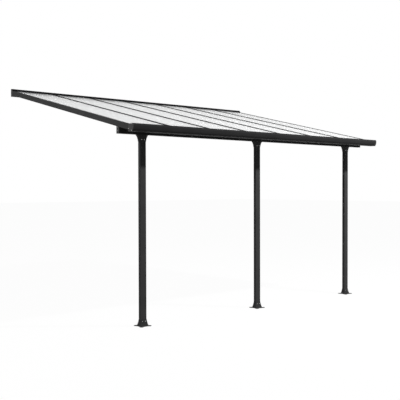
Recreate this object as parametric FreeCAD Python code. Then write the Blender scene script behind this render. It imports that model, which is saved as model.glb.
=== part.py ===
"""Wall mounted pergola with a sloped panel roof, a front gutter and three posts.

Millimetres. The origin is on the back face of the wall profile, at the middle of its length,
53 mm over its lower edge. X runs along the wall, Y points into the wall and Z points up, so
the gutter is at minus Y and the floor is at minus Z.
"""
import FreeCAD
import Part
import math
import os

V = FreeCAD.Vector

# overall sizes
BAY = 602.0
BAYS = 7
EDGE = 18.0
WALL_TOP = 49.5
WALL_BOTTOM = -53.0
FLOOR_Z = -2823.0
GUTTER_FRONT_Y = -2861.5

# roof plane: the crown of the rafters, at the wall face, and its fall towards the gutter
ROOF_Z = 34.0
ROOF_SLOPE = 0.2329
ROOF_ANGLE = math.degrees(math.atan(ROOF_SLOPE))
ROOF_COS = math.cos(math.radians(ROOF_ANGLE))

# heights above the crown plane, measured square to the roof
PANEL_TOP = -8.0
PANEL_THICK = 8.0
PANEL_BOTTOM = PANEL_TOP - PANEL_THICK
RAFTER_BOTTOM = -45.5
SIDE_TOP = -3.5
SKIRT_BOTTOM = -62.5
SLOT_PLAY = 0.3
RUN_SPARE = 338.5
OVERRUN = 60.0
CLEAR = 1000.0

# rafters
RAFTER_CROWN_WIDTH = 34.0
RAFTER_BOX_WIDTH = 22.0
RAFTER_WALL = 1.8
RAFTER_PLUG = 10.0
WEB = 4.0
SEAT_THICK = 3.0
CROWN_EDGE = 2.5
SIDE_WIDTH = 34.0
SIDE_WEB_X = 20.0
SIDE_WALL = 2.5
SIDE_BULGE = -4.0
SKIRT_THICK = 2.5
GUSSET_HEIGHT = 10.0
PANEL_PLAY = 1.0

# wall profile
WALL_DEPTH = 46.0
HOOD_DEPTH = 30.0
HOOD_LIP_Z = 30.0
HOOD_LIP_THICK = 2.5
HOOD_CHAMFER = 4.0
WALL_THICK = 3.0
WALL_SCREW_R = 4.0
WALL_SCREW_FIRST = 300.0
WALL_SCREW_PITCH = 600.0
WALL_SCREW_END = 85.0
WALL_SCREW_Z = 5.0
CAP_THICK = 4.0
CAP_CHIN_Z = 32.0
CAP_CHIN_FALL = 6.0

# gutter section: distance behind the front and height above the bottom
GUTTER_DEPTH = 93.5
GUTTER_HEIGHT = 84.0
GUTTER_LIP_RISE = 21.8
GUTTER_THICK = 2.0
GUTTER_FLANGE = 17.0
GUTTER_SEAM_X = 20.0
GUTTER_SEAM_GAP = 1.2
GUTTER_FACE = ((6.5, GUTTER_HEIGHT), (0.0, 64.0), (1.0, 48.0), (3.4, 33.0), (7.4, 20.0), (12.6, 11.5),
               (17.0, 9.0), (14.0, 4.0), (18.0, 0.0))
JOINT_THICK = 1.6
JOINT_HALF = 35.0
JOINT_TRIM = 4.0

# header beam and posts
BEAM_BEHIND_FRONT = 301.5
BEAM_DEPTH = 50.0
BEAM_UNDER_GUTTER = 8.9
BEAM_WALL = 2.5
BEAM_RADIUS = 3.0
BEAM_INSET = 8.0
POST_END_INSET = 329.0
POST_WIDTH = 80.0
POST_DEPTH = 40.0
POST_RADIUS = 3.5
POST_WALL = 2.0

# flared connectors at the foot and under the beam
PAD_SIZE = 154.0
PAD_THICK = 5.0
PAD_CORNER_R = 24.0
PAD_SIDE_R = 85.0
PAD_SIDE_SAG = 17.0
PAD_SIDE_STEPS = 6
PAD_HOLE_R = 4.5
PAD_HOLE_PITCH = 116.0
SOCKET_PLAY = 0.2
FLARE_HEIGHT = 76.0
FLARE_LIP = 1.3
FLARE_STEPS = 7
FLARE_CORNER_SIDES = 3
FLARE_CORNER_R = 9.0

# how far a connector's sides spread from lip to base, as a straight and a curved share, along X and along Y
FOOT_SPREAD = ((11.2, 6.5), (11.2, 6.5))
HEAD_SPREAD = ((15.5, 18.7), (3.5, 0.0))

# clearances
SEAT_GAP = 0.3
RAFTER_WALL_END = -6.0
RAFTER_BEHIND_FRONT = 56.5
PANEL_WALL_END = -8.0
PANEL_BEHIND_FRONT = 36.5
GUSSET_RUN = 240.0

LENGTH = BAY * BAYS + 2.0 * EDGE
HALF = LENGTH / 2.0
GUTTER_BACK_Y = GUTTER_FRONT_Y + GUTTER_DEPTH
GUTTER_BOTTOM_Z = ROOF_Z + ROOF_SLOPE * GUTTER_FRONT_Y + GUTTER_LIP_RISE - GUTTER_HEIGHT
RAFTER_GUTTER_END = GUTTER_FRONT_Y + RAFTER_BEHIND_FRONT
PANEL_GUTTER_END = GUTTER_FRONT_Y + PANEL_BEHIND_FRONT
BEAM_Y = GUTTER_FRONT_Y + BEAM_BEHIND_FRONT
BEAM_BOTTOM_Z = GUTTER_BOTTOM_Z - BEAM_UNDER_GUTTER
POST_Y = BEAM_Y
POST_SPACING = HALF - POST_END_INSET
ROOF_RUN = RUN_SPARE - GUTTER_FRONT_Y

os.makedirs("parts", exist_ok=True)


def save(name, shape):
    """Write one closed solid as a STEP file."""
    solids = shape.Solids
    if len(solids) != 1 or not solids[0].isValid():
        raise ValueError("%s has %d solids" % (name, len(solids)))
    solids[0].exportStep("parts/%s.step" % name)


def roof_z(y, above):
    """Height of the plane that lies ABOVE mm over the crown plane, at the distance Y."""
    return ROOF_Z + ROOF_SLOPE * y + above / ROOF_COS


def polygon(points):
    """Closed wire through the points."""
    return Part.makePolygon([V(*p) for p in points] + [V(*points[0])])


def along_x(points, x0, x1):
    """Prism with the section POINTS, given as (y, z) pairs, from x0 to x1."""
    face = Part.Face(polygon([(x0, y, z) for y, z in points]))
    return face.extrude(V(x1 - x0, 0, 0))


def block(x0, x1, y0, y1, z0, z1):
    """Box between two corners."""
    return Part.makeBox(x1 - x0, y1 - y0, z1 - z0, V(x0, y0, z0))


def offset_path(path, distance):
    """The open path moved to its left by DISTANCE, with mitred corners."""
    result = []
    for i in range(len(path)):
        normals = []
        for j in (i - 1, i):
            if 0 <= j < len(path) - 1:
                dx = path[j + 1][0] - path[j][0]
                dy = path[j + 1][1] - path[j][1]
                size = math.hypot(dx, dy)
                normals.append((-dy / size, dx / size))
        nx = sum(n[0] for n in normals) / len(normals)
        ny = sum(n[1] for n in normals) / len(normals)
        square = nx * nx + ny * ny
        result.append((path[i][0] + distance * nx / square, path[i][1] + distance * ny / square))
    return result


def roof_prism(edges, y_wall, y_gutter):
    """Extrude a section drawn in X and height over the crown plane down the roof, ends cut upright."""
    face = Part.Face(Part.Wire(edges))
    solid = face.extrude(V(0, -ROOF_RUN, 0))
    solid.rotate(V(0, 0, ROOF_Z), V(1, 0, 0), ROOF_ANGLE)
    return solid.common(block(-HALF - OVERRUN, HALF + OVERRUN, y_gutter, y_wall, -CLEAR, CLEAR))


def section(points, arc=None):
    """Edges through (x, height) points at the start of the roof; ARC replaces the edge after that index."""
    at = [V(x, OVERRUN, ROOF_Z + n) for x, n in points]
    edges = []
    for i in range(len(at)):
        nxt = at[(i + 1) % len(at)]
        if arc and i == arc[0]:
            mid = V(arc[1][0], OVERRUN, ROOF_Z + arc[1][1])
            edges.append(Part.Arc(at[i], mid, nxt).toShape())
        else:
            edges.append(Part.makeLine(at[i], nxt))
    return edges


def rafter(x):
    """Glazing bar with a rounded crown, two panel slots and a hollow box below."""
    crown = RAFTER_CROWN_WIDTH / 2
    box = RAFTER_BOX_WIDTH / 2
    web = WEB / 2
    slot_top = PANEL_TOP + SLOT_PLAY
    seat_low = PANEL_BOTTOM - SEAT_THICK
    points = [(x - crown, slot_top + CROWN_EDGE), (x + crown, slot_top + CROWN_EDGE), (x + crown, slot_top),
              (x + web, slot_top), (x + web, PANEL_BOTTOM), (x + crown, PANEL_BOTTOM), (x + crown, seat_low),
              (x + box, seat_low), (x + box, RAFTER_BOTTOM), (x - box, RAFTER_BOTTOM), (x - box, seat_low),
              (x - crown, seat_low), (x - crown, PANEL_BOTTOM), (x - web, PANEL_BOTTOM), (x - web, slot_top),
              (x - crown, slot_top)]
    outer = roof_prism(section(points, (0, (x, 0.0))), RAFTER_WALL_END, RAFTER_GUTTER_END)
    inner_x = box - RAFTER_WALL
    inner = [(x - inner_x, seat_low), (x + inner_x, seat_low),
             (x + inner_x, RAFTER_BOTTOM + RAFTER_WALL), (x - inner_x, RAFTER_BOTTOM + RAFTER_WALL)]
    hollow = roof_prism(section(inner), RAFTER_WALL_END + RAFTER_PLUG, RAFTER_GUTTER_END - RAFTER_PLUG)
    return outer.cut(hollow)


def side_rafter(side):
    """Edge rafter with an outer skirt; SIDE is minus one for the left and one for the right."""
    def at(depth):
        return side * (HALF - depth)
    slot_top = PANEL_TOP + SLOT_PLAY
    points = [(at(SIDE_WIDTH), slot_top + CROWN_EDGE), (at(SIDE_WEB_X), SIDE_TOP), (at(0), SIDE_TOP),
              (at(0), SKIRT_BOTTOM), (at(SKIRT_THICK), SKIRT_BOTTOM), (at(SKIRT_THICK), RAFTER_BOTTOM),
              (at(SIDE_WIDTH), RAFTER_BOTTOM), (at(SIDE_WIDTH), PANEL_BOTTOM), (at(SIDE_WEB_X), PANEL_BOTTOM),
              (at(SIDE_WEB_X), slot_top), (at(SIDE_WIDTH), slot_top)]
    bulge = (at((SIDE_WIDTH + SIDE_WEB_X) / 2), SIDE_BULGE)
    body = roof_prism(section(points, (0, bulge)), RAFTER_WALL_END, RAFTER_GUTTER_END)
    outer_x = CAP_THICK + SIDE_WALL
    inner_x = SIDE_WIDTH - SIDE_WALL
    hollow_top = PANEL_BOTTOM - SEAT_THICK
    hollow_low = RAFTER_BOTTOM + SIDE_WALL
    hollow = [(at(outer_x), hollow_top), (at(inner_x), hollow_top),
              (at(inner_x), hollow_low), (at(outer_x), hollow_low)]
    body = body.cut(roof_prism(section(hollow), RAFTER_WALL_END + RAFTER_PLUG, RAFTER_GUTTER_END - RAFTER_PLUG))
    low, high = sorted((at(-OVERRUN), at(CAP_THICK + SEAT_GAP)))
    y_cap = -WALL_DEPTH - SEAT_GAP
    body = body.cut(block(low, high, y_cap, CLEAR, -CLEAR, CLEAR))
    body = body.cut(block(low, high, -ROOF_RUN, GUTTER_BACK_Y - SEAT_GAP, -CLEAR, CLEAR))
    gusset = [(y_cap, WALL_BOTTOM + SEAT_GAP), (-GUSSET_RUN, roof_z(-GUSSET_RUN, SKIRT_BOTTOM)),
              (-GUSSET_RUN, roof_z(-GUSSET_RUN, SKIRT_BOTTOM + GUSSET_HEIGHT)),
              (y_cap, roof_z(y_cap, SKIRT_BOTTOM + GUSSET_HEIGHT))]
    low, high = sorted((at(0), at(SKIRT_THICK)))
    return body.fuse(along_x(gusset, low, high)).removeSplitter()


def panel(x0, x1):
    """One roof sheet, held in the slots of two rafters."""
    points = [(x0, PANEL_BOTTOM), (x1, PANEL_BOTTOM), (x1, PANEL_TOP), (x0, PANEL_TOP)]
    return roof_prism(section(points), PANEL_WALL_END, PANEL_GUTTER_END)


def wall_profile(screws):
    """Wall profile: back plate with screw holes, hood over the roof and box seat under the rafters."""
    t = WALL_THICK
    lip_y = -HOOD_DEPTH + HOOD_LIP_THICK
    points = [(0, WALL_BOTTOM), (0, WALL_TOP), (-HOOD_DEPTH + HOOD_CHAMFER, WALL_TOP),
              (-HOOD_DEPTH, WALL_TOP - HOOD_CHAMFER), (-HOOD_DEPTH, HOOD_LIP_Z), (lip_y, HOOD_LIP_Z),
              (lip_y, WALL_TOP - t), (-t, WALL_TOP - t), (-t, roof_z(-t, RAFTER_BOTTOM)),
              (-WALL_DEPTH, roof_z(-WALL_DEPTH, RAFTER_BOTTOM)), (-WALL_DEPTH, WALL_BOTTOM)]
    x1 = HALF - CAP_THICK
    body = along_x(points, -x1, x1)
    inner = [(-t, WALL_BOTTOM + t), (-t, roof_z(-t, RAFTER_BOTTOM) - t),
             (-WALL_DEPTH + t, roof_z(-WALL_DEPTH + t, RAFTER_BOTTOM) - t), (-WALL_DEPTH + t, WALL_BOTTOM + t)]
    body = body.cut(along_x(inner, -x1 - 1, x1 + 1))
    for x in screws:
        for sx in (-x, x):
            start = V(sx, -2 * WALL_THICK, WALL_SCREW_Z)
            body = body.cut(Part.makeCylinder(WALL_SCREW_R, 3 * WALL_THICK, start, V(0, 1, 0)))
    return body


def wall_cap(side):
    """Flat cap over one end of the wall profile."""
    points = [(0, WALL_BOTTOM), (0, WALL_TOP), (-HOOD_DEPTH + HOOD_CHAMFER, WALL_TOP),
              (-HOOD_DEPTH, WALL_TOP - HOOD_CHAMFER), (-HOOD_DEPTH, CAP_CHIN_Z),
              (-WALL_DEPTH, CAP_CHIN_Z - CAP_CHIN_FALL), (-WALL_DEPTH, WALL_BOTTOM)]
    x0, x1 = sorted((side * (HALF - CAP_THICK), side * HALF))
    return along_x(points, x0, x1)


def gutter_path():
    """Outer line of the gutter section as (y, z), from the front lip round to the back flange."""
    def seat(a):
        y = GUTTER_FRONT_Y + a
        return (y, roof_z(y, RAFTER_BOTTOM))
    path = [(GUTTER_FRONT_Y + a, GUTTER_BOTTOM_Z + h) for a, h in GUTTER_FACE]
    path.append((GUTTER_BACK_Y, GUTTER_BOTTOM_Z))
    path.append(seat(GUTTER_DEPTH))
    path.append(seat(GUTTER_DEPTH - GUTTER_FLANGE))
    return path


def gutter(x0, x1):
    """One length of open gutter."""
    path = gutter_path()
    return along_x(path + offset_path(path, GUTTER_THICK)[::-1], x0, x1)


def gutter_joint():
    """Inner sleeve that joins the two lengths of gutter, from the front face to the back wall."""
    inner = offset_path(gutter_path(), GUTTER_THICK)[1:-1]
    inner[-1] = (inner[-1][0], inner[-1][1] - JOINT_TRIM)
    inner[0] = (inner[0][0], inner[0][1] - JOINT_TRIM)
    deep = offset_path(gutter_path(), GUTTER_THICK + JOINT_THICK)[1:-1]
    deep[-1] = (deep[-1][0], inner[-1][1])
    deep[0] = (deep[0][0], inner[0][1])
    return along_x(inner + deep[::-1], GUTTER_SEAM_X - JOINT_HALF, GUTTER_SEAM_X + JOINT_HALF)


def gutter_cap(side):
    """End plate of the gutter, up to the top edge of the side rafter."""
    path = gutter_path()[:-2]
    top = (GUTTER_BACK_Y, roof_z(GUTTER_BACK_Y, SIDE_TOP))
    x0, x1 = sorted((side * (HALF - CAP_THICK), side * HALF))
    return along_x(path + [top], x0, x1)


def beam_section(inset):
    """Corner points of the header beam section, moved in by INSET, as (y, z)."""
    back = BEAM_Y + BEAM_DEPTH / 2 - inset
    front = BEAM_Y - BEAM_DEPTH / 2 + inset
    low = BEAM_BOTTOM_Z + inset
    top = RAFTER_BOTTOM - inset
    return [(back, low), (back, roof_z(back, top)), (front, roof_z(front, top)), (front, low)]


def round_low_edges(solid):
    """Round the two long lower edges of a beam."""
    edges = []
    for edge in solid.Edges:
        box = edge.BoundBox
        if box.XLength > CAP_THICK / 2 and box.ZMax < BEAM_BOTTOM_Z + SEAT_GAP and box.YLength < SEAT_GAP:
            edges.append(edge)
    return solid.makeFillet(BEAM_RADIUS, edges)


def header_beam():
    """Hollow beam across the posts; its top lies in the plane of the rafters' undersides."""
    x1 = HALF - BEAM_INSET - CAP_THICK
    outer = round_low_edges(along_x(beam_section(0), -x1, x1))
    return outer.cut(along_x(beam_section(BEAM_WALL), -x1 - 1, x1 + 1))


def beam_cap(side):
    """Cap over one end of the header beam."""
    x0, x1 = sorted((side * (HALF - BEAM_INSET - CAP_THICK), side * (HALF - BEAM_INSET)))
    return round_low_edges(along_x(beam_section(0), x0, x1))


def rounded_box(half_x, half_y, radius, z, sides):
    """Points of a rectangle centred on the Z axis whose corners are made of a few straight SIDES."""
    points = []
    for quarter, (sx, sy) in enumerate(((1, 1), (-1, 1), (-1, -1), (1, -1))):
        for side in range(sides + 1):
            turn = math.radians(90 * (quarter + side / sides))
            x = sx * (half_x - radius) + radius * math.cos(turn)
            y = sy * (half_y - radius) + radius * math.sin(turn)
            points.append((x, y, z))
    return points


def post_tube(x):
    """Rectangular tube with rounded corners, from the foot pad to the pad under the beam."""
    z0 = FLOOR_Z + PAD_THICK
    z1 = BEAM_BOTTOM_Z - PAD_THICK
    half_x = POST_WIDTH / 2
    half_y = POST_DEPTH / 2
    prisms = []
    for inset in (0, POST_WALL):
        radius = POST_RADIUS - inset
        wire = polygon(rounded_box(half_x - inset, half_y - inset, radius, z0, FLARE_CORNER_SIDES))
        prisms.append(Part.Face(wire).extrude(V(0, 0, z1 - z0)))
    tube = prisms[0].cut(prisms[1])
    tube.translate(V(x, POST_Y, 0))
    return tube


def skirt(spread, base_z):
    """Flared block from the lip down to BASE_Z, centred on the Z axis, before its socket is cut."""
    wires = []
    for step in range(FLARE_STEPS):
        share = step / (FLARE_STEPS - 1)
        half_x, half_y = [half + FLARE_LIP + straight * share + curved * share ** 3
                          for half, (straight, curved) in zip((POST_WIDTH / 2, POST_DEPTH / 2), spread)]
        radius = POST_RADIUS + (FLARE_CORNER_R - POST_RADIUS) * share
        z = FLARE_HEIGHT + (base_z - FLARE_HEIGHT) * share
        wires.append(polygon(rounded_box(half_x, half_y, radius, z, FLARE_CORNER_SIDES)))
    return Part.makeLoft(wires, True, True)


def socket():
    """The space that the end of a post fills."""
    half_x = POST_WIDTH / 2 + SOCKET_PLAY
    half_y = POST_DEPTH / 2 + SOCKET_PLAY
    mouth = polygon(rounded_box(half_x, half_y, POST_RADIUS, PAD_THICK, FLARE_CORNER_SIDES))
    return Part.Face(mouth).extrude(V(0, 0, FLARE_HEIGHT))


def foot_pad():
    """Square plate with concave sides, which leave an ear with a bolt hole at each corner."""
    half = PAD_SIZE / 2
    middle = half - PAD_SIDE_SAG + PAD_SIDE_R
    sweep = math.acos((middle - half) / PAD_SIDE_R)
    points = []
    for quarter in range(4):
        side = math.radians(90 * quarter)
        for step in range(PAD_SIDE_STEPS + 1):
            turn = sweep * (1 - 2 * step / PAD_SIDE_STEPS)
            out = middle - PAD_SIDE_R * math.cos(turn)
            along = -PAD_SIDE_R * math.sin(turn)
            points.append((out * math.cos(side) - along * math.sin(side),
                           out * math.sin(side) + along * math.cos(side), 0))
        for step in range(FLARE_CORNER_SIDES + 1):
            turn = side + math.radians(90 * step / FLARE_CORNER_SIDES)
            inner = (half - PAD_CORNER_R) * math.sqrt(2)
            points.append((inner * math.cos(side + math.pi / 4) + PAD_CORNER_R * math.cos(turn),
                           inner * math.sin(side + math.pi / 4) + PAD_CORNER_R * math.sin(turn), 0))
    pad = Part.Face(polygon(points)).extrude(V(0, 0, PAD_THICK))
    d = PAD_HOLE_PITCH / 2
    for cx, cy in ((d, d), (-d, d), (d, -d), (-d, -d)):
        pad = pad.cut(Part.makeCylinder(PAD_HOLE_R, 3 * PAD_THICK, V(cx, cy, -PAD_THICK)))
    return pad


def post_foot(x):
    """Foot of a post: pad with four ears and a flared skirt, made as one."""
    body = foot_pad().fuse(skirt(FOOT_SPREAD, PAD_THICK)).cut(socket()).removeSplitter()
    body.translate(V(x, POST_Y, FLOOR_Z))
    return body


def post_head(x):
    """Head of a post: a flare as deep as the beam, which spreads along it."""
    body = skirt(HEAD_SPREAD, 0).cut(socket())
    body.rotate(V(0, 0, 0), V(1, 0, 0), 180)
    body.translate(V(x, POST_Y, BEAM_BOTTOM_Z))
    return body


screw_count = int((HALF - WALL_SCREW_END - WALL_SCREW_FIRST) / WALL_SCREW_PITCH) + 1
screw_xs = [WALL_SCREW_FIRST + WALL_SCREW_PITCH * i for i in range(screw_count)]
save("wall_profile", wall_profile(screw_xs + [HALF - WALL_SCREW_END]))
save("wall_profile_cap_left", wall_cap(-1))
save("wall_profile_cap_right", wall_cap(1))
save("side_rafter_left", side_rafter(-1))
save("side_rafter_right", side_rafter(1))

bars = [-HALF + EDGE + BAY * i for i in range(1, BAYS)]
for number, bar_x in enumerate(bars, 1):
    save("rafter_%d" % number, rafter(bar_x))

lefts = [-HALF + SIDE_WEB_X] + [bar_x + WEB / 2 for bar_x in bars]
rights = [bar_x - WEB / 2 for bar_x in bars] + [HALF - SIDE_WEB_X]
for number, (left, right) in enumerate(zip(lefts, rights), 1):
    save("roof_panel_%d" % number, panel(left + PANEL_PLAY, right - PANEL_PLAY))

seam = GUTTER_SEAM_GAP / 2
save("gutter_left", gutter(-HALF + CAP_THICK, GUTTER_SEAM_X - seam))
save("gutter_right", gutter(GUTTER_SEAM_X + seam, HALF - CAP_THICK))
save("gutter_joint", gutter_joint())
save("gutter_cap_left", gutter_cap(-1))
save("gutter_cap_right", gutter_cap(1))

save("header_beam", header_beam())
save("header_beam_cap_left", beam_cap(-1))
save("header_beam_cap_right", beam_cap(1))

for name, post_x in (("left", -POST_SPACING), ("middle", 0.0), ("right", POST_SPACING)):
    save("post_%s" % name, post_tube(post_x))
    save("post_foot_%s" % name, post_foot(post_x))
    save("post_head_%s" % name, post_head(post_x))
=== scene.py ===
import math
from contextlib import contextmanager

import bmesh
import bpy
from bpy.props import FloatProperty, FloatVectorProperty, IntProperty, PointerProperty
from mathutils import Matrix, Vector


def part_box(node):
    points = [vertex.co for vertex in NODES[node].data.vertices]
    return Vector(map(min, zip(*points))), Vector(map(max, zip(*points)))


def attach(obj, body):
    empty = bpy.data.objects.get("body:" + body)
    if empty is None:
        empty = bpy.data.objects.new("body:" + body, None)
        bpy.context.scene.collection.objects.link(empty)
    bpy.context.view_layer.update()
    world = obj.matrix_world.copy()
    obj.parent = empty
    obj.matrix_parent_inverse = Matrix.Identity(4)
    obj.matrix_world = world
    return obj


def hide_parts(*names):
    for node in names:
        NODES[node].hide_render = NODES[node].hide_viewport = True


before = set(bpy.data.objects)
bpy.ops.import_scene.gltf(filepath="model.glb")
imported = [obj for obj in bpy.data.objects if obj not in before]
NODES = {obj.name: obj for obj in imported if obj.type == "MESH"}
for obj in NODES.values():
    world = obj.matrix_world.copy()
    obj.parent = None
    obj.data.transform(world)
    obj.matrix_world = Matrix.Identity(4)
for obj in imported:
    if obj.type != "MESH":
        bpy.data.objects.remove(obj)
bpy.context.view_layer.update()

bl_info = {
    "name": "Wall-mounted pergola",
    "version": (1, 0, 0),
    "blender": (4, 5, 0),
    "location": "View3D > Sidebar > Pergola",
    "description": "Dresses a patio cover: sheets, gutter, connectors, seals, screws and stage",
    "category": "Object",
}

ENDS = ((-1, "left"), (1, "right"))
POSTS = ("left", "middle", "right")
SHEETS = sorted(name for name in NODES if name.startswith("roof_panel_"))
BARS = sorted(name for name in NODES if name.startswith("rafter_"))
DUST = (0.16, 0.155, 0.145)
WHITE = (1.0, 1.0, 1.0, 1.0)


def centre(node):
    """Middle of a node's box."""
    low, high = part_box(node)
    return (low + high) / 2


def outside(node, side):
    """Place of a node's left side, or of its right one, by the sign."""
    low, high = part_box(node)
    return low.x if side < 0 else high.x


# Settings

def length(**values):
    """Setting for a size, in metres."""
    return FloatProperty(unit="LENGTH", **values)


def angle(degrees, **values):
    """Setting for an angle, with its default in degrees."""
    return FloatProperty(subtype="ANGLE", default=math.radians(degrees), **values)


def paint(**values):
    """Setting for a colour."""
    return FloatVectorProperty(subtype="COLOR", size=3, min=0, max=1, **values)


class PergolaRoof(bpy.types.PropertyGroup):
    """Roof plane, twin-wall sheets and the seals on them."""
    crown_height: length(
        name="Crown height", default=0.0340,
        description="Height of the rafter crowns over the origin, at the wall")
    fall: FloatProperty(
        name="Fall", default=0.2329,
        description="Drop of the roof towards the gutter for each metre of run")
    sheet_top: length(
        name="Sheet top", default=-0.008,
        description="Top of the sheets, square to the roof, from the crown plane")
    sheet_thickness: length(
        name="Sheet thickness", description="Thickness of a sheet", default=0.008)
    channels: IntProperty(name="Channels", default=54, min=1, description="Channels across a sheet")
    skin: length(name="Skin", description="Thickness of the two skins of a sheet", default=0.0006)
    rib: length(name="Rib", description="Thickness of the ribs between channels", default=0.0005)
    seal_width: length(
        name="Seal width", default=0.0060,
        description="Width of a seal beside a crown")
    seal_height: length(
        name="Seal height", default=0.0055,
        description="Height of a seal over the sheet")
    crown_half: length(
        name="Half crown", description="Half the width of a rafter's crown", default=0.017)
    side_width: length(name="Edge rafter width", default=0.034, description="Width over the sheet")


class PergolaGutter(bpy.types.PropertyGroup):
    """Section of the front gutter."""
    depth: length(name="Depth", description="Depth from front to back", default=0.0935)
    wall: length(name="Wall", description="Thickness of the extruded wall", default=0.002)
    flange: length(name="Flange", description="Width of the flange at the back", default=0.017)
    rafter_depth: length(
        name="Rafter depth", description="Depth of a rafter, square to the roof", default=0.0455)


class PergolaConnector(bpy.types.PropertyGroup):
    """Moulded connectors at both ends of the posts."""
    height: length(name="Height", description="Height of a skirt with its pad", default=0.076)
    lip: length(name="Lip", description="How far the upper lip stands off the post", default=0.0013)
    play: length(name="Play", description="Gap between the post and the connector", default=0.0002)
    pad: length(name="Pad", description="Side of the square pad on the floor", default=0.154)
    pad_thickness: length(name="Pad thickness", description="Thickness of the pad", default=0.005)
    ear_radius: length(name="Ear radius", description="Radius of the pad's corners", default=0.024)
    side_radius: length(name="Side radius", description="Radius of the hollow sides", default=0.085)
    side_sag: length(name="Side sag", description="How far the hollow sides come in", default=0.017)
    hole: length(name="Hole radius", description="Radius of the anchor holes", default=0.0045)
    hole_pitch: length(
        name="Hole pitch", description="Distance between anchor holes", default=0.116)
    steps: IntProperty(name="Steps", description="Rings of faces up a skirt", default=20, min=4)
    corner_steps: IntProperty(
        name="Corner steps", description="Faces round a corner", default=7, min=2)


class PergolaScrews(bpy.types.PropertyGroup):
    """Visible screws."""
    head: length(name="Head", description="Diameter of a screw head", default=0.0095)
    spread: length(
        name="Spread", default=0.0195,
        description="Distance of a connector's screws from the middle of the post")
    up: length(
        name="Height", default=0.053,
        description="Distance of a connector's screws from its base")


class PergolaFinish(bpy.types.PropertyGroup):
    """Colours and gloss."""
    coat: paint(
        name="Coat", description="Colour of the powder coat on the posts",
        default=(0.047, 0.047, 0.0475))
    # Painted shade: a much darker copy of the posts' coat, for the shaded sides of the bars' crowns
    coat_bars_painted_shade: paint(
        name="Glazing bars", description="Colour of the coat on the bars between the sheets",
        default=(0.012, 0.012, 0.0122))
    coat_edges: paint(
        name="Edge rafters", description="Colour of the coat on the two edge rafters",
        default=(0.054, 0.054, 0.0545))
    # Painted shade: a darker copy of the posts' coat, for the shade on the beam and the gutter's
    # face
    coat_deep_painted_shade: paint(
        name="Deep coat", description="Colour of the coat on the gutter and the beam",
        default=(0.025, 0.025, 0.0255))
    # Painted shade: a much darker copy of the posts' coat, for the shade on the wall profile's
    # front
    coat_wall_painted_shade: paint(
        name="Wall profile", description="Colour of the coat on the wall profile",
        default=(0.006, 0.006, 0.0061))
    coat_roughness: FloatProperty(
        name="Coat roughness", description="Middle roughness of the powder coat",
        default=0.60, min=0, max=1)
    caps: paint(
        name="Caps", description="Colour of the moulded end caps",
        default=(0.066, 0.066, 0.0665))
    connectors: paint(
        name="Connectors", description="Colour of the moulded connectors",
        default=(0.030, 0.030, 0.0303))
    sheet: paint(name="Sheets", description="Tint of the roof sheets", default=(0.95, 0.956, 0.958))
    rubber: paint(
        name="Seals", description="Colour of the rubber seals", default=(0.010, 0.010, 0.011))
    steel: paint(name="Screws", description="Colour of the screws", default=(0.56, 0.56, 0.55))


class PergolaStage(bpy.types.PropertyGroup):
    """Floor, light and camera."""
    key: FloatProperty(
        name="Key light", default=5.2, min=0,
        description="Light of the key lamp on a surface that faces it, at its own distance")
    key_distance: length(
        name="Key distance", default=7.2,
        description="Distance of the lamps from the front of the cover")
    key_height: angle(46.0, name="Key height", description="Angle of the key light over the floor")
    key_turn: angle(
        37.0, name="Key turn", description="Turn of the key light to the right of the front")
    key_size: angle(3.0, name="Key size", description="Apparent size of the lamps")
    side: FloatProperty(
        name="Side light", default=0.75, min=0,
        description="Light of the lamp at the left on a surface that faces it")
    side_height: angle(
        12.0, name="Side height", description="Angle of the side light over the floor")
    side_turn: angle(
        -93.0, name="Side turn", description="Turn of the side light to the right of the front")
    ambient: FloatProperty(
        name="Ambient", description="Strength of the light from all round", default=0.17, min=0)
    floor: paint(
        name="Floor", description="Colour of the floor, as it lights the object",
        default=(0.24, 0.24, 0.24))
    floor_clear: FloatProperty(
        name="Floor clearing", default=0.97, min=0, max=1,
        description="Share of plain white in the floor, as the camera sees it")
    floor_size: length(name="Floor size", description="Half side of the floor", default=60.0)
    lens: FloatProperty(
        name="Lens", description="Focal length in millimetres", default=62.94, min=1)
    eye: FloatVectorProperty(
        name="Eye", description="Place of the camera", subtype="XYZ", size=3, unit="LENGTH",
        default=(-6.3397, -8.8695, -1.2914))
    heading: angle(
        40.518, name="Heading", description="Turn of the camera from straight at the wall")
    tilt: angle(-1.0115, name="Tilt", description="Tilt of the camera, upwards")
    roll: angle(-0.1313, name="Roll", description="Roll of the camera")


SETTINGS = {
    "pergola_roof": PergolaRoof,
    "pergola_gutter": PergolaGutter,
    "pergola_connector": PergolaConnector,
    "pergola_screws": PergolaScrews,
    "pergola_finish": PergolaFinish,
    "pergola_stage": PergolaStage,
}


# Nodes

def add_node(tree, kind, settings=(), **inputs):
    """Add a node with its settings; each input gets a value, or what feeds it."""
    node = tree.nodes.new(kind)
    for name, value in dict(settings).items():
        setattr(node, name, value)
    for name, value in inputs.items():
        give(tree, node.inputs[name.replace("_", " ")], value)
    return node


def give(tree, socket, value):
    """Set a socket to a value, or link it to an output or to a node's first output."""
    if isinstance(value, bpy.types.Node):
        value = value.outputs[0]
    if isinstance(value, bpy.types.NodeSocket):
        tree.links.new(value, socket)
    else:
        socket.default_value = value


def reckon(tree, operation, first, second):
    """Work out one number from two others."""
    node = add_node(tree, "ShaderNodeMath", {"operation": operation})
    give(tree, node.inputs[0], first)
    give(tree, node.inputs[1], second)
    return node


def mix_shaders(tree, share, first, second):
    """The second shader laid over the first by the share."""
    node = add_node(tree, "ShaderNodeMixShader", Fac=share)
    give(tree, node.inputs[1], first)
    give(tree, node.inputs[2], second)
    return node


# Finishes

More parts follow.
